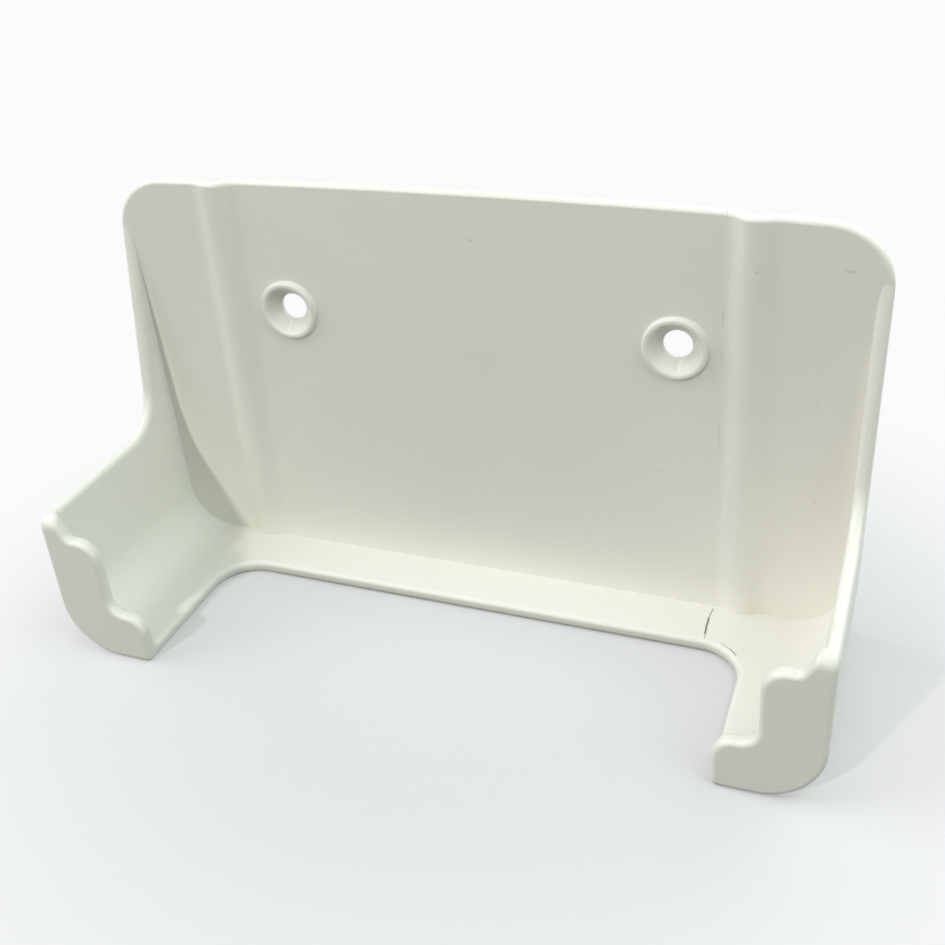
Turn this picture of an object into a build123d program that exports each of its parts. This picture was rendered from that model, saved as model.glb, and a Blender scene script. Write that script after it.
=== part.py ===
"""Wall mount for a pump's hand controller, moulded in one piece.

A thin back plate is fixed to the wall by two screws. Two trough-shaped arms reach
forward from its lower corners, and the controller rests in them with its middle open
below. While the shape is built, height zero is the top of the shelf and depth zero is
the front of the back plate, with the front at negative Y. At the end the part is moved
so that its origin lies midway between the screw holes, on the face that meets the wall.
All sizes are in millimetres.
"""
import os
from math import radians, tan

from build123d import *

# Overall size: the sides lean out a little towards the top
WIDTH = 119.9
SIDE_DRAFT = 1.2
PLATE_TOP = 66.0
CROWN = 1.1
REACH = 36.2

# Walls
PLATE_WALL = 2.1
SIDE_WALL = 2.0
FLOOR_WALL = 2.1
LIP_WALL = 2.2

# Corners seen from the front
TOP_CORNER = 9.4
BOTTOM_CORNER = 9.4

# Screw holes, each in a raised countersunk boss
HOLE_PITCH = 63.5
HOLE_HEIGHT = 45.3
HOLE_DIAMETER = 4.5
HOLE_LAND = 0.5
SINK_DIAMETER = 8.3
BOSS_DIAMETER = 9.8
BOSS_RISE = 0.75

# An upright ridge stiffens the plate outside each boss, with a groove behind it
RIDGE_CLEARANCE = 1.55
RIDGE_HALF_WIDTH = 4.2
RIDGE_PLACE = (HOLE_PITCH + BOSS_DIAMETER) / 2 + RIDGE_CLEARANCE + RIDGE_HALF_WIDTH
GROOVE_HALF_WIDTH = 2.9
RIDGE_RISE_TOP = 1.65
RIDGE_RISE_BOTTOM = 1.15

# The panels outside the ridges lean forward
PANEL_FORWARD_TOP = 0.7
PANEL_FORWARD_BOTTOM = -0.2

# Side walls: a flange that grows downwards, a sweep, and the level top of the arm
ARM_TOP = 23.1
FLANGE_TOP = 58.2
FLANGE_LEAN = 9.0
SWEEP_RADIUS = 7.8
ARM_CORNER = 2.0

# Arms, and the opening between them
ARM_WIDTH = 14.95
SHELF_DEPTH = 9.1
GAP_CORNER = 7.0

# Lip across the front of each arm: low at the gap, a step, and a ramp up to the wall
LIP_LOW = 6.4
LIP_HIGH = 19.5
LIP_STEP_SHARE = 0.4
LIP_RAMP_RUN = 2.0
LIP_RAMP_INSET = 0.5

# Rounding of the lip's outline, as shares of the level runs beside it
INNER_ROUND_SHARE = 0.52
COVE_SHARE = 0.45
SHOULDER_SHARE = 0.7
RAMP_ROUND_SHARE = 0.3

# Rounded edges
RIM_ROUND = 0.8
PLATE_EDGE_ROUND = 0.6
BOSS_ROUND = 0.35
TROUGH_ROUND = 1.0

# How far a cutting shape runs past what it cuts
OVERCUT = 5.0

# Faces that meet at more than this many degrees have a sharp edge between them
SHARP_ANGLE = 5.0

# A direction counts as facing an axis when its part along that axis is above this
FACING = 0.7


def between_depths(outline, front, back):
    """A solid with this outline in the front view, between two depths."""
    return extrude(Plane.XZ.offset(-back) * outline, back - front)


def half_width(height):
    """From the middle to the outside of a side wall, at this height."""
    return WIDTH / 2 + height * tan(radians(SIDE_DRAFT))


def at_height(bottom, top, height):
    """A size that changes evenly from the underside to the top of the plate."""
    return bottom + (top - bottom) * (height + FLOOR_WALL) / (PLATE_TOP + FLOOR_WALL)


def sharp_edges(body, lowest, highest):
    """The edges where two faces meet at an angle, with middles inside this box."""
    faces = body.faces()
    found = []
    for edge in body.edges():
        middle = edge.position_at(0.5)
        inside = all(low < value < high for low, value, high in zip(lowest, middle, highest))
        sides = [face.normal_at(middle) for face in faces if edge in face.edges()]
        if inside and sides[0].get_angle(sides[-1]) > SHARP_ANGLE:
            found.append(edge)
    return found


def front_outline():
    """The mount seen from the front: a crowned top edge and four round corners."""
    top = half_width(PLATE_TOP)
    low = half_width(-FLOOR_WALL)
    sides = Polyline((-top, PLATE_TOP), (-low, -FLOOR_WALL), (low, -FLOOR_WALL), (top, PLATE_TOP))
    crown = ThreePointArc((top, PLATE_TOP), (0, PLATE_TOP + CROWN), (-top, PLATE_TOP))
    face = make_face(sides + crown)
    face = fillet(face.vertices().group_by(Axis.Y)[-1], TOP_CORNER)
    return fillet(face.vertices().group_by(Axis.Y)[0], BOTTOM_CORNER)


def inner_outline():
    """The inside of the side walls and the floor, seen from the front."""
    high = PLATE_TOP + OVERCUT
    top = half_width(high) - SIDE_WALL
    low = half_width(0) - SIDE_WALL
    corner = BOTTOM_CORNER - SIDE_WALL
    points = [(-top, high), (-low, 0), (low, 0), (top, high)]
    return make_face(FilletPolyline(points, radius=(0, corner, corner, 0), close=True))


def cavity():
    """The space inside the arms, with its front bottom edges rounded."""
    space = between_depths(inner_outline(), LIP_WALL - REACH, PLATE_WALL + 2 * OVERCUT)
    lip_edges = space.edges().group_by(Axis.Y)[0].sort_by(Axis.Z)[:-1]
    return fillet(lip_edges, TROUGH_ROUND)


def side_view():
    """The side walls seen from the side: the flange, its sweep and the arm."""
    lean_head = -at_height(PANEL_FORWARD_BOTTOM, PANEL_FORWARD_TOP, FLANGE_TOP)
    lean_foot = lean_head - (FLANGE_TOP - ARM_TOP) * tan(radians(FLANGE_LEAN))
    back = PLATE_WALL + 2 * OVERCUT
    corners = [
        ((back, -FLOOR_WALL), 0),
        ((-REACH, -FLOOR_WALL), 0),
        ((-REACH, ARM_TOP), ARM_CORNER),
        ((lean_foot, ARM_TOP), SWEEP_RADIUS),
        ((lean_head, FLANGE_TOP), 0),
        ((back, FLANGE_TOP), 0),
    ]
    return extrude(Plane.YZ * rounded(corners), WIDTH, both=True)


def rounded(corners):
    """A closed outline from its corners, each with its own radius."""
    points = [point for point, radius in corners]
    radii = [radius for point, radius in corners]
    return make_face(FilletPolyline(points, radius=radii, close=True))


def gap():
    """The opening between the arms, seen from above."""
    half = WIDTH / 2 - ARM_WIDTH
    front = -REACH - OVERCUT
    points = [(-half, front), (-half, -SHELF_DEPTH), (half, -SHELF_DEPTH), (half, front)]
    outline = make_face(FilletPolyline(points, radius=(0, GAP_CORNER, GAP_CORNER, 0), close=True))
    return Pos(0, 0, -FLOOR_WALL - OVERCUT) * extrude(outline, ARM_TOP + FLOOR_WALL + 2 * OVERCUT)


def lip_cut():
    """What is cut away above the lip of the right arm, seen from the front."""
    inner = WIDTH / 2 - ARM_WIDTH
    step = inner + ARM_WIDTH * LIP_STEP_SHARE
    ramp_head = half_width(ARM_TOP) - SIDE_WALL - LIP_RAMP_INSET
    ramp_foot = ramp_head - LIP_RAMP_RUN
    low_run = step - inner
    high_run = ramp_foot - step
    high = ARM_TOP + OVERCUT
    low = -FLOOR_WALL - OVERCUT
    corners = [
        ((inner - OVERCUT, high), 0),
        ((inner - OVERCUT, low), 0),
        ((inner, low), 0),
        ((inner, LIP_LOW), low_run * INNER_ROUND_SHARE),
        ((step, LIP_LOW), low_run * COVE_SHARE),
        ((step, LIP_HIGH), high_run * SHOULDER_SHARE),
        ((ramp_foot, LIP_HIGH), high_run * RAMP_ROUND_SHARE),
        ((ramp_head, ARM_TOP), 0),
        ((ramp_head, high), 0),
    ]
    return between_depths(rounded(corners), -REACH - OVERCUT, LIP_WALL - REACH + TROUGH_ROUND)


def tray():
    """The shelf, the two arms and the flanges, with every free edge rounded."""
    body = between_depths(front_outline(), -REACH, PLATE_WALL + OVERCUT) - cavity()
    body &= side_view()
    body -= gap()
    cut = lip_cut()
    body -= cut
    body -= mirror(cut, Plane.YZ)
    lowest = (-WIDTH, -REACH - OVERCUT, -FLOOR_WALL - OVERCUT)
    highest = (WIDTH, PLATE_WALL, FLANGE_TOP - RIM_ROUND)
    return fillet(sharp_edges(body, lowest, highest), RIM_ROUND)


def slope(start, end):
    """A smooth step between two levels, flat at both ends."""
    middle = (start[0] + end[0]) / 2
    return Bezier(start, (middle, start[1]), (middle, end[1]), end)


def ridged_section(height, ridge_half_width, panel_forward_bottom, flat):
    """A level cut between the line of the ridges and a straight line at this depth."""
    rise = at_height(RIDGE_RISE_BOTTOM, RIDGE_RISE_TOP, height)
    panel = -at_height(panel_forward_bottom, PANEL_FORWARD_TOP, height)
    foot = RIDGE_PLACE - ridge_half_width
    far_foot = RIDGE_PLACE + ridge_half_width
    end = half_width(PLATE_TOP) + OVERCUT
    right = slope((foot, 0), (RIDGE_PLACE, -rise))
    right += slope((RIDGE_PLACE, -rise), (far_foot, panel))
    right += Polyline((far_foot, panel), (end, panel), (end, flat))
    outline = Line((-foot, 0), (foot, 0)) + right + mirror(right, Plane.YZ)
    return Pos(0, 0, height) * make_face(outline + Line((-end, flat), (end, flat)))


def ridged_block(ridge_half_width, panel_forward_bottom, flat):
    """A tall block with the ridges on one face, and the other face flat at this depth."""
    heights = (-FLOOR_WALL - OVERCUT, PLATE_TOP + OVERCUT)
    sections = [ridged_section(height, ridge_half_width, panel_forward_bottom, flat) for height in heights]
    return loft(sections, ruled=True)


def front_rim(body):
    """The edges that run round the front of the plate."""
    rim = [face for face in body.faces() if abs(face.normal_at().Y) < FACING]
    edges = [edge for face in rim for edge in face.edges() if abs(edge.tangent_at(0.5).Y) < FACING]
    return [edge for edge in edges if edge.position_at(0.5).Y < PLATE_WALL]


def plate():
    """The plate with its ridges and crowned top. Its back is cut later, with the tray's."""
    behind_front = ridged_block(RIDGE_HALF_WIDTH, PANEL_FORWARD_BOTTOM, PLATE_WALL + 2 * OVERCUT)
    body = behind_front & between_depths(front_outline(), -OVERCUT, PLATE_WALL + OVERCUT)
    return fillet(front_rim(body), PLATE_EDGE_ROUND)


def shell():
    """The plate and the tray as one, cut to the back with its grooves and rounded there."""
    before_back = Pos(0, PLATE_WALL, 0) * ridged_block(GROOVE_HALF_WIDTH, 0, -REACH - 2 * OVERCUT)
    body = (plate() + tray()) & before_back
    lowest = (-WIDTH, PLATE_WALL - RIDGE_RISE_TOP, -FLOOR_WALL - OVERCUT)
    highest = (WIDTH, PLATE_WALL + OVERCUT, PLATE_TOP + OVERCUT)
    return fillet(sharp_edges(body, lowest, highest), PLATE_EDGE_ROUND)


def screw_bosses():
    """Two round pegs on the axes of the screw holes."""
    peg = between_depths(Circle(BOSS_DIAMETER / 2), -BOSS_RISE, PLATE_WALL / 2)
    return [Pos(x, 0, HOLE_HEIGHT) * peg for x in (-HOLE_PITCH / 2, HOLE_PITCH / 2)]


def screw_holes():
    """The two holes with their countersinks, as the shapes to cut away."""
    hole_radius = HOLE_DIAMETER / 2
    sink_radius = SINK_DIAMETER / 2
    bottom = PLATE_WALL - HOLE_LAND
    half_section = Polyline(
        (0, PLATE_WALL + OVERCUT),
        (hole_radius, PLATE_WALL + OVERCUT),
        (hole_radius, bottom),
        (sink_radius, -BOSS_RISE),
        (sink_radius, -BOSS_RISE - OVERCUT),
        (0, -BOSS_RISE - OVERCUT),
        (0, PLATE_WALL + OVERCUT),
    )
    cutter = revolve(make_face(half_section), Axis.Y)
    return [Pos(x, 0, HOLE_HEIGHT) * cutter for x in (-HOLE_PITCH / 2, HOLE_PITCH / 2)]


def boss_rims(body):
    """The round edges of the bosses: their rims and their roots, but not the holes."""
    rings = body.edges().filter_by(GeomType.CIRCLE).filter_by(lambda edge: edge.radius > HOLE_DIAMETER / 2)
    low = HOLE_HEIGHT - BOSS_DIAMETER
    high = HOLE_HEIGHT + BOSS_DIAMETER
    return rings.filter_by_position(Axis.Z, low, high).filter_by_position(Axis.Y, -WIDTH, PLATE_WALL / 2)


def mount_body():
    """The whole moulding."""
    body = shell() + screw_bosses()
    body -= screw_holes()
    return fillet(boss_rims(body), BOSS_ROUND)


os.makedirs("parts", exist_ok=True)
to_own_origin = Pos(0, -PLATE_WALL, -HOLE_HEIGHT)
export_step(to_own_origin * mount_body(), "parts/mount_body.step")
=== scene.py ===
# %% [markdown]
# # A wall mount for a pump's hand controller
#
# The real object is one moulding: a thin plate with two screw holes, a shelf along its
# foot and two arms that hold a controller by its lower corners. Its exact shape comes
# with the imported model, so this lesson is about what a shape alone lacks: a surface that
# looks like satin moulded plastic, the marks that use has left on it, and plain studio
# light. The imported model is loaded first. It is measured in metres, with its origin
# midway between the screw holes on the face that meets the wall.

from math import radians

import bpy
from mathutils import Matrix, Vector


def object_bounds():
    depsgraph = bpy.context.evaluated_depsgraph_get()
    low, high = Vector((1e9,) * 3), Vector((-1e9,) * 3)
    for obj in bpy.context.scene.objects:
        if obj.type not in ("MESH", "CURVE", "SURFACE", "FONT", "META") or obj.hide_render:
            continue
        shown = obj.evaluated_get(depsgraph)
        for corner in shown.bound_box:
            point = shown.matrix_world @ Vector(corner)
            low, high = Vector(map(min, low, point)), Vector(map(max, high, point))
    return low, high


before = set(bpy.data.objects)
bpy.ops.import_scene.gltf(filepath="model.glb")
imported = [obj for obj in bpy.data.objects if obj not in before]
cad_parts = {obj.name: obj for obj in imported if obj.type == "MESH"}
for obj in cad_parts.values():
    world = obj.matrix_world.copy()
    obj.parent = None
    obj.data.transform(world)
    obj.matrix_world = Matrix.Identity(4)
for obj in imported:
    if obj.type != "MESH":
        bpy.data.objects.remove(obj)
cad_low, cad_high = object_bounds()
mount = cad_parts["mount_body"]
size = [round(v, 4) for v in cad_high - cad_low]
print("mount:", len(mount.data.vertices), "points, size", size)

# %% [markdown]
# ## Sizes in millimetres and colours as a screen shows them
#
# Moulded detail is small, so it is easier to think in millimetres than in metres.
# Colours are easiest to read as the hex values of a screen, but a renderer adds up light
# in linear amounts. One function turns the first into the second.

# %% Units and colours
MM = 0.001


def linear(hex_colour):
    """The linear colour, with full alpha, of a screen colour such as '#808080'."""
    parts = [int(hex_colour[i : i + 2], 16) / 255 for i in (1, 3, 5)]
    return [c / 12.92 if c <= 0.04045 else ((c + 0.055) / 1.055) ** 2.4 for c in parts] + [1.0]


print("a middle grey in linear light:", [round(c, 3) for c in linear("#808080")])

# %% [markdown]
# ## One helper for all nodes
#
# A material is a small network: a texture feeds a ramp, the ramp feeds a colour, and so
# on. Written out in full, each node takes four or five lines. This helper makes one node,
# sets its options and its inputs, and links it to the nodes before it.

# %% A function that adds a node


def add(tree, kind, options=None, values=None, links=None):
    """Adds a node. Values and links are given for its inputs, by name or by number."""
    node = tree.nodes.new(kind)
    for name, value in (options or {}).items():
        setattr(node, name, value)
    for place, value in (values or {}).items():
        node.inputs[place].default_value = value
    for place, source in (links or {}).items():
        tree.links.new(source, node.inputs[place])
    return node


# %% [markdown]
# ## A mark that runs along a line
#
# A hairline crack or a scratch is a thin line on the surface. It could be drawn on an
# image, but an image needs unwrapping and blurs when it is seen close. Here each mark is
# worked out from its two ends instead: the shader asks how far a point is from the line
# between them, and marks it if that is less than the mark's half width. The same group
# draws a speck when its ends lie close together.

# %% The group that measures the distance to a line
streak = bpy.data.node_groups.new("distance_to_line", "ShaderNodeTree")
for socket, kind in [
    ("Point", "NodeSocketVector"),
    ("Start", "NodeSocketVector"),
    ("End", "NodeSocketVector"),
    ("Half width", "NodeSocketFloat"),
    ("Strength", "NodeSocketFloat"),
]:
    streak.interface.new_socket(name=socket, in_out="INPUT", socket_type=kind)
streak.interface.new_socket(name="Mask", in_out="OUTPUT", socket_type="NodeSocketFloat")

given = streak.nodes.new("NodeGroupInput").outputs
from_start = add(
    streak,
    "ShaderNodeVectorMath",
    {"operation": "SUBTRACT"},
    links={0: given["Point"], 1: given["Start"]},
).outputs[0]
run = add(
    streak,
    "ShaderNodeVectorMath",
    {"operation": "SUBTRACT"},
    links={0: given["End"], 1: given["Start"]},
).outputs[0]
along = add(
    streak, "ShaderNodeVectorMath", {"operation": "DOT_PRODUCT"}, links={0: from_start, 1: run}
)
whole = add(streak, "ShaderNodeVectorMath", {"operation": "DOT_PRODUCT"}, links={0: run, 1: run})
share = add(
    streak,
    "ShaderNodeMath",
    {"operation": "DIVIDE", "use_clamp": True},
    links={0: along.outputs["Value"], 1: whole.outputs["Value"]},
)
nearest = add(
    streak, "ShaderNodeVectorMath", {"operation": "SCALE"}, links={0: run, "Scale": share.outputs[0]}
)
distance = add(
    streak,
    "ShaderNodeVectorMath",
    {"operation": "DISTANCE"},
    links={0: from_start, 1: nearest.outputs[0]},
)
fade = add(
    streak,
    "ShaderNodeMapRange",
    {"interpolation_type": "SMOOTHSTEP"},
    {"From Min": 0.0, "To Min": 1.0, "To Max": 0.0},
    {"Value": distance.outputs["Value"], "From Max": given["Half width"]},
)
mask = add(
    streak,
    "ShaderNodeMath",
    {"operation": "MULTIPLY"},
    links={0: fade.outputs["Result"], 1: given["Strength"]},
)
result = streak.nodes.new("NodeGroupOutput")
streak.links.new(mask.outputs[0], result.inputs["Mask"])
print("line group:", len(streak.nodes), "nodes")

# %% [markdown]
# ## Moulded ABS, satin
#
# The mount is injection moulded, most likely in ABS: opaque, cream white, with the soft
# sheen that a lightly spark-eroded mould leaves. Light goes a little way into it, which
# softens its edges. Three patterns keep it from looking like paint. A slow drift of tone
# is the flow of the melt. A fine grain is the texture of the mould. Broad, shallow waves
# are the places where the wall sank as it cooled, and they bend the highlights.

# %% Start the plastic
plastic = bpy.data.materials.new("moulded_abs_satin")
plastic.use_nodes = True
tree = plastic.node_tree
tree.nodes.clear()

FLOW_SIZE = 26.0  # millimetres from one tone of the melt to the next
GRAIN_SIZE = 0.7  # the real grain is about 0.1 mm: drawn coarser, or it wouldn't show
SINK_SIZE = 14.0  # millimetres across one shallow wave

place = add(tree, "ShaderNodeTexCoord").outputs["Object"]
millimetres = add(
    tree, "ShaderNodeVectorMath", {"operation": "SCALE"}, {"Scale": 1 / MM}, {0: place}
).outputs[0]

flow = add(
    tree,
    "ShaderNodeTexNoise",
    values={"Scale": 1 / FLOW_SIZE, "Detail": 3.0, "Roughness": 0.55, "Distortion": 0.6},
    links={"Vector": millimetres},
)
grain = add(
    tree,
    "ShaderNodeTexNoise",
    values={"Scale": 1 / GRAIN_SIZE, "Detail": 2.0, "Roughness": 0.5},
    links={"Vector": millimetres},
)
sink = add(
    tree,
    "ShaderNodeTexNoise",
    values={"Scale": 1 / SINK_SIZE, "Detail": 1.0, "Roughness": 0.4},
    links={"Vector": millimetres},
)
print("patterns: flow", FLOW_SIZE, "mm, grain", GRAIN_SIZE, "mm, waves", SINK_SIZE, "mm")

# %% Cream colour with a slow drift
PALE_CREAM, DEEP_CREAM = "#EEEDE5", "#E7E6DD"
GRAIN_SHOWS = 0.05  # how much of the grain is seen in the colour
tone = add(
    tree,
    "ShaderNodeMix",
    {"data_type": "RGBA"},
    {6: linear(PALE_CREAM), 7: linear(DEEP_CREAM)},
    {0: flow.outputs["Fac"]},
)
speckled = add(
    tree,
    "ShaderNodeMix",
    {"data_type": "RGBA", "blend_type": "MULTIPLY"},
    {0: GRAIN_SHOWS},
    {6: tone.outputs[2], 7: grain.outputs["Color"]},
)
cream = speckled.outputs[2]
print("cream drifts between", PALE_CREAM, "and", DEEP_CREAM)

# %% [markdown]
# ## The marks of use
#
# Beside the right ridge a hairline runs the whole height of the moulding, always the same
# distance from the middle. At the top edge it ends in a small notch. On the plate it is
# only a few faint dashes. Through the shelf it has opened into a real crack, dark with
# dirt, and a second short crack follows the rounded inner corner of the arm. A few specks
# of dirt lie on the plate, and one inside the left arm. A real crack never runs quite
# straight, so the points are nudged sideways by a small noise before the distance to each
# line is measured.

# %% Nudge the points so that no mark is ruler straight
NUDGE = 0.3  # millimetres between the furthest nudges to either side
BENDS_PER_MM = 0.7
wander = add(
    tree,
    "ShaderNodeTexNoise",
    values={"Scale": BENDS_PER_MM, "Detail": 2.0},
    links={"Vector": millimetres},
)
centred = add(
    tree,
    "ShaderNodeVectorMath",
    {"operation": "SUBTRACT"},
    {1: (0.5, 0.5, 0.5)},
    {0: wander.outputs["Color"]},
)
nudge = add(
    tree, "ShaderNodeVectorMath", {"operation": "SCALE"}, {"Scale": NUDGE}, {0: centred.outputs[0]}
)
nudged = add(
    tree, "ShaderNodeVectorMath", {"operation": "ADD"}, links={0: millimetres, 1: nudge.outputs[0]}
).outputs[0]
print("marks wander by up to about", NUDGE / 2, "mm to either side")

# %% Where each mark starts and ends, its half width in millimetres and its strength
HAIRLINE = 38.5  # how far right of the middle the hairline runs
plate_marks = {
    "notch at the top edge": [(HAIRLINE, 0, 21.8), (HAIRLINE + 0.2, 0, 20.4), 0.12, 0.25],
    "upper dash": [(HAIRLINE, 0, 6.8), (HAIRLINE, 0, 4.3), 0.13, 0.22],
    "middle dash": [(HAIRLINE, 0, 0.5), (HAIRLINE, 0, -1.9), 0.13, 0.18],
    "lower dash": [(HAIRLINE, 0, -11.9), (HAIRLINE, 0, -16.2), 0.12, 0.15],
    "speck high in the middle": [(0.7, 0, 14.6), (0.9, 0, 14.4), 0.3, 0.25],
    "speck in the middle": [(6.5, 0, -17.2), (6.6, 0, -17.1), 0.25, 0.16],
    "short dash": [(28.3, 0, -21.1), (30.2, 0, -21.1), 0.18, 0.14],
    "speck on the ridge": [(43.1, 0, 13.6), (43.2, 0, 13.5), 0.3, 0.2],
    "smudge at the right": [(54.8, 0, 14.4), (55.9, 0, 14.2), 0.32, 0.2],
    "speck at the right": [(52.1, 0, -6.5), (52.2, 0, -6.6), 0.28, 0.2],
    "low speck at the right": [(52.8, 0, -22.8), (52.9, 0, -22.9), 0.28, 0.18],
}
shelf_marks = {
    "crack, back part": [(38.55, -3.0, 0), (38.3, -6.2, 0), 0.18, 0.75],
    "crack, dark middle": [(38.3, -5.4, 0), (38.5, -9.3, 0), 0.26, 1.0],
    "crack, front part": [(38.5, -9.3, 0), (38.65, -10.5, 0), 0.16, 0.5],
    "short crack in the corner": [(41.35, -11.05, 0), (42.95, -12.0, 0), 0.17, 0.55],
    "its darker half": [(42.95, -12.0, 0), (43.95, -13.15, 0), 0.22, 0.75],
    "crack between the two": [(38.65, -10.7, 0), (41.3, -11.0, 0), 0.12, 0.12],
}
wall_marks = {
    "speck on the left wall": [(-58.4, -8.1, -37.1), (-58.4, -8.4, -36.9), 0.4, 0.35],
}
for face, marks in {"plate": plate_marks, "shelf": shelf_marks, "wall": wall_marks}.items():
    print("marks on the", face + ":", len(marks))


# %% Draw the marks
def draw_marks(marks, keep_axes):
    """The strongest of these marks at each point, measured on the axes that are kept."""
    flat = add(
        tree, "ShaderNodeVectorMath", {"operation": "MULTIPLY"}, {1: keep_axes}, {0: nudged}
    ).outputs[0]
    total = None
    for start, end, half_width, strength in marks.values():
        drawn = add(
            tree,
            "ShaderNodeGroup",
            {"node_tree": streak},
            {"Start": start, "End": end, "Half width": half_width, "Strength": strength},
            {"Point": flat},
        ).outputs["Mask"]
        if total is None:
            total = drawn
        else:
            total = add(
                tree, "ShaderNodeMath", {"operation": "MAXIMUM"}, links={0: total, 1: drawn}
            ).outputs[0]
    return total


on_plate = draw_marks(plate_marks, (1, 0, 1))
on_shelf = draw_marks(shelf_marks, (1, 1, 0))
on_wall = draw_marks(wall_marks, (1, 1, 1))

# %% Keep each group of marks on its own face
PLATE_FRONT = -1.2  # marks on the plate show only in front of this depth, in millimetres
SHELF = -45.3  # height of the shelf's top, in millimetres
SHELF_REACH = 0.4  # marks on the shelf show up to this far above it
depth_and_height = add(tree, "ShaderNodeSeparateXYZ", links={0: millimetres})
in_front = add(
    tree,
    "ShaderNodeMath",
    {"operation": "LESS_THAN"},
    {1: PLATE_FRONT},
    {0: depth_and_height.outputs["Y"]},
)
at_shelf = add(
    tree,
    "ShaderNodeMath",
    {"operation": "LESS_THAN"},
    {1: SHELF + SHELF_REACH},
    {0: depth_and_height.outputs["Z"]},
)
plate_only = add(
    tree, "ShaderNodeMath", {"operation": "MULTIPLY"}, links={0: on_plate, 1: in_front.outputs[0]}
)
shelf_only = add(
    tree, "ShaderNodeMath", {"operation": "MULTIPLY"}, links={0: on_shelf, 1: at_shelf.outputs[0]}
)
marked = add(
    tree,
    "ShaderNodeMath",
    {"operation": "MAXIMUM"},
    links={0: plate_only.outputs[0], 1: shelf_only.outputs[0]},
)
all_marks = add(
    tree, "ShaderNodeMath", {"operation": "MAXIMUM"}, links={0: marked.outputs[0], 1: on_wall}
).outputs[0]
print("marks kept on their own faces")

# %% [markdown]
# ## Bump and gloss
#
# The waves and the grain are far too shallow to model, so they only tilt the light. ABS
# has an index of refraction near 1.53, and a satin mould gives a roughness near 0.4. The
# gloss drifts a little with the flow of the melt.

# %% Waves and grain as bump
WAVE_DEPTH = 0.12  # millimetres
GRAIN_DEPTH = 0.02
waves = add(
    tree,
    "ShaderNodeBump",
    values={"Strength": 0.5, "Distance": WAVE_DEPTH * MM},
    links={"Height": sink.outputs["Fac"]},
)
grained = add(
    tree,
    "ShaderNodeBump",
    values={"Strength": 0.25, "Distance": GRAIN_DEPTH * MM},
    links={"Height": grain.outputs["Fac"], "Normal": waves.outputs[0]},
)
print("bump layers: waves", WAVE_DEPTH, "mm deep, grain", GRAIN_DEPTH, "mm deep")

# %% [markdown]
# ## A painted highlight in each countersink
#
# At the foot of each countersink a short, pale upright line is painted into the colour. It is a
# painted highlight, where the curved foot of the recess catches the light. It is drawn with the same
# group as the dark marks, but it lightens the colour. A limit on the depth keeps it off the back of
# the plate.

# %% The painted highlight at the foot of each countersink
PAINTED_HIGHLIGHT_PLACE = 32.3  # how far each painted highlight stands from the middle, in millimetres
# Colour of the painted highlight: a pale line that stands in for light caught at the foot of the
# recess.
PAINTED_HIGHLIGHT_COLOUR = "#FDFDFA"
PAINTED_HIGHLIGHT_FRONT = -0.4  # the painted highlights show only in front of this depth, in millimetres
painted_highlights = {
    "left painted highlight": [(-PAINTED_HIGHLIGHT_PLACE, 0, -2.6), (-PAINTED_HIGHLIGHT_PLACE, 0, -3.5), 0.45, 0.6],
    "right painted highlight": [(PAINTED_HIGHLIGHT_PLACE, 0, -2.6), (PAINTED_HIGHLIGHT_PLACE, 0, -3.5), 0.45, 0.6],
}
off_the_back = add(
    tree,
    "ShaderNodeMath",
    {"operation": "LESS_THAN"},
    {1: PAINTED_HIGHLIGHT_FRONT},
    {0: depth_and_height.outputs["Y"]},
)
painted_highlights_in_front = add(
    tree,
    "ShaderNodeMath",
    {"operation": "MULTIPLY"},
    links={0: draw_marks(painted_highlights, (1, 0, 1)), 1: off_the_back.outputs[0]},
)
# Mix the painted highlight into the cream colour.
with_painted_highlights = add(
    tree,
    "ShaderNodeMix",
    {"data_type": "RGBA"},
    {7: linear(PAINTED_HIGHLIGHT_COLOUR)},
    {0: painted_highlights_in_front.outputs[0], 6: cream},
)
print("seams:", len(painted_highlights))

# %% Gloss and the finished shader
DIRT = "#55564C"
ABS_IOR = 1.53
SHINIEST, DULLEST = 0.36, 0.46  # the two ends of the roughness
LIGHT_SHARE = 0.08  # how much of the light goes into the plastic
LIGHT_REACH = 1.5  # and how far, in millimetres
marked_cream = add(
    tree,
    "ShaderNodeMix",
    {"data_type": "RGBA"},
    {7: linear(DIRT)},
    {0: all_marks, 6: with_painted_highlights.outputs[2]},
)
sheen_drift = add(
    tree,
    "ShaderNodeMapRange",
    values={"To Min": SHINIEST, "To Max": DULLEST},
    links={"Value": flow.outputs["Fac"]},
)
shader = add(
    tree,
    "ShaderNodeBsdfPrincipled",
    values={
        "IOR": ABS_IOR,
        "Subsurface Weight": LIGHT_SHARE,
        "Subsurface Radius": (1.0, 0.9, 0.7),
        "Subsurface Scale": LIGHT_REACH * MM,
    },
    links={
        "Base Color": marked_cream.outputs[2],
        "Roughness": sheen_drift.outputs["Result"],
        "Normal": grained.outputs[0],
    },
)
add(tree, "ShaderNodeOutputMaterial", links={"Surface": shader.outputs[0]})
print("plastic:", len(tree.nodes), "nodes")

# %% Put the plastic on the mount
for slot in mount.material_slots:
    slot.material = plastic
print("material slots:", [slot.material.name for slot in mount.material_slots])

# %% [markdown]
# ## A pale floor
#
# The mount stands upright on its shelf and arms. A wide, plain sheet of card carries its
# shadow. Away from the object the background is nearly white, and a floor that is only
# lit can't be that without too much light on the object. So the card that the camera sees
# glows more and more from three centimetres out, and from about twelve it is all glow.
# Even in its darkest place a tenth of it glows. Light that the card throws back at the
# object comes from a darker card instead, because white card would light up the front of
# the arms more than the photograph shows.

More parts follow.
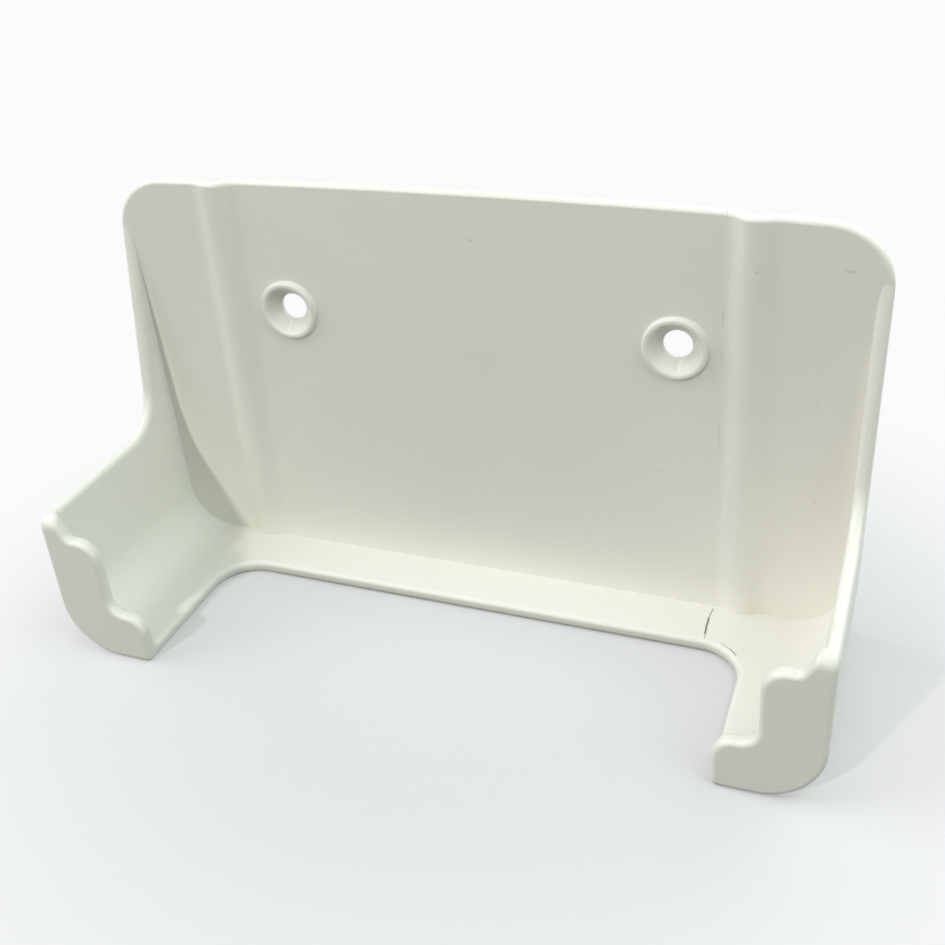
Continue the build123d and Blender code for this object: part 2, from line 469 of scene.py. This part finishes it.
# %% The card that the camera sees
FLOOR_RADIUS = 2.5  # metres, so that its edge stays out of view
SHADE_MIDDLE = (0.005, -0.022, 0.0)  # metres: the darkest place, between the arms
GLOW_STARTS = 0.03  # metres from that place
GLOW_FULL = 0.115
GLOW_LEAST = 0.1  # the share of glow in the darkest place
card = bpy.data.materials.new("white_card_matt")
card.use_nodes = True
paper = card.node_tree
paper.nodes.clear()
CLOUDS_PER_METRE = 9.0  # real fibres are far finer: drawn this coarse, or they wouldn't show
where = add(paper, "ShaderNodeTexCoord").outputs["Object"]
fibres = add(
    paper,
    "ShaderNodeTexNoise",
    values={"Scale": CLOUDS_PER_METRE, "Detail": 2.0},
    links={"Vector": where},
)
paper_colour = add(
    paper,
    "ShaderNodeMix",
    {"data_type": "RGBA"},
    {6: linear("#D1D1D2"), 7: linear("#D4D4D5")},
    {0: fibres.outputs["Fac"]},
)
seen_card = add(paper, "ShaderNodeBsdfDiffuse", links={"Color": paper_colour.outputs[2]})
glow = add(paper, "ShaderNodeEmission", values={"Color": linear("#FAFBFB"), "Strength": 1.0})
how_far = add(
    paper, "ShaderNodeVectorMath", {"operation": "DISTANCE"}, {1: SHADE_MIDDLE}, {0: where}
)
glow_share = add(
    paper,
    "ShaderNodeMapRange",
    {"interpolation_type": "SMOOTHSTEP"},
    {"From Min": GLOW_STARTS, "From Max": GLOW_FULL, "To Min": GLOW_LEAST, "To Max": 1.0},
    {"Value": how_far.outputs["Value"]},
)
glowing = add(
    paper,
    "ShaderNodeMixShader",
    links={0: glow_share.outputs["Result"], 1: seen_card.outputs[0], 2: glow.outputs[0]},
)
print("card glows fully beyond", GLOW_FULL, "m")

# %% The card that lights the object
grey_card = add(paper, "ShaderNodeBsdfDiffuse", values={"Color": linear("#6C6E6E")})
seen = add(paper, "ShaderNodeLightPath")
seen_or_mirrored = add(
    paper,
    "ShaderNodeMath",
    {"operation": "MAXIMUM"},
    links={0: seen.outputs["Is Camera Ray"], 1: seen.outputs["Is Glossy Ray"]},
)
floor_shader = add(
    paper,
    "ShaderNodeMixShader",
    links={0: seen_or_mirrored.outputs[0], 1: grey_card.outputs[0], 2: glowing.outputs[0]},
)
add(paper, "ShaderNodeOutputMaterial", links={"Surface": floor_shader.outputs[0]})
bpy.ops.mesh.primitive_circle_add(
    vertices=96, radius=FLOOR_RADIUS, fill_type="NGON", location=(0, 0, cad_low.z)
)
floor = bpy.context.object
floor.name = "floor"
floor.data.materials.append(card)
print("floor at height", round(cad_low.z, 4))

# %% [markdown]
# ## Studio light
#
# The shadows tell where the light came from. The side wall throws a narrow, fairly sharp
# shadow on the left of the plate, so a small panel stands in front, a little to the left.
# The ridges are bright on their left and dark on their right, so a large panel grazes the
# plate from the left. The inner side of the left arm is bright too, with a hint of green,
# so another large panel stands at the right. The card in front of the plate is darker
# than the card around it, so some light comes from behind, where the plate blocks it.
# A little even light fills the rest, as in a white tent.


# %% Hang the lights
def hang_light(name, direction, away, width, watts, colour):
    """A square light panel, this far from the mount's middle in this direction."""
    data = bpy.data.lights.new(name, "AREA")
    data.size = width
    data.energy = watts
    data.color = linear(colour)[:3]
    lamp = bpy.data.objects.new(name, data)
    bpy.context.scene.collection.objects.link(lamp)
    towards = Vector(direction).normalized()
    middle = (cad_low + cad_high) / 2
    lamp.location = middle + towards * away
    lamp.rotation_euler = towards.to_track_quat("Z", "Y").to_euler()
    print(name, "at", [round(v, 2) for v in lamp.location])


hang_light("front_panel", (-0.3, -0.79, 0.54), away=1.5, width=0.075, watts=8.0, colour="#FFF9F0")
hang_light("left_panel", (-0.75, -0.14, 0.64), away=1.8, width=1.4, watts=23.0, colour="#F5FAFF")
hang_light("right_panel", (0.66, -0.12, 0.74), away=1.8, width=1.8, watts=26.5, colour="#EFFBF8")
hang_light("back_panel", (0.3, 0.85, 0.44), away=1.8, width=1.8, watts=19.0, colour="#FBFBF6")

# %% Fill the room with even light
TENT_STRENGTH = 0.12  # what lights the mount
BACKDROP_STRENGTH = 0.95  # what the camera and the reflections see
world = bpy.data.worlds.new("white_tent")
bpy.context.scene.world = world
world.use_nodes = True
air = world.node_tree
air.nodes.clear()
seen_direct = add(air, "ShaderNodeLightPath")
seen_any = add(
    air,
    "ShaderNodeMath",
    {"operation": "MAXIMUM"},
    links={0: seen_direct.outputs["Is Camera Ray"], 1: seen_direct.outputs["Is Glossy Ray"]},
)
tent = add(
    air, "ShaderNodeBackground", values={"Color": linear("#F4FAFA"), "Strength": TENT_STRENGTH}
)
backdrop = add(
    air, "ShaderNodeBackground", values={"Color": linear("#F6F7F7"), "Strength": BACKDROP_STRENGTH}
)
both = add(
    air,
    "ShaderNodeMixShader",
    links={0: seen_any.outputs[0], 1: tent.outputs[0], 2: backdrop.outputs[0]},
)
add(air, "ShaderNodeOutputWorld", links={"Surface": both.outputs[0]})
bpy.context.scene.view_settings.view_transform = "Standard"
print("room light", TENT_STRENGTH, "and backdrop", BACKDROP_STRENGTH)

# %% [markdown]
# ## The camera
#
# The photographer stood a little to the right and looked down at the mount from close by.
# The place, the turn and the lens were worked out from about forty points of the object
# whose positions in the picture are known. The picture was cropped off centre, which the
# small vertical shift repeats.

# %% Place the camera
LENS = 47.476  # millimetres, on the usual 36 mm sensor
PICTURE_SIZE = 945  # pixels, along each side
CROP_SHIFT = -72.5  # pixels
CAMERA_PLACE = (66.602, -163.285, 81.243)  # millimetres
CAMERA_TURN = (61.6696, 3.7914, 20.647)  # degrees
camera_data = bpy.data.cameras.new("camera")
camera_data.lens = LENS
camera_data.shift_y = CROP_SHIFT / PICTURE_SIZE
camera_data.clip_start = 0.01
camera = bpy.data.objects.new("camera", camera_data)
bpy.context.scene.collection.objects.link(camera)
camera.location = [v * MM for v in CAMERA_PLACE]
camera.rotation_euler = [radians(v) for v in CAMERA_TURN]
bpy.context.scene.camera = camera
print("camera", round(camera.location.length, 3), "m from the origin")
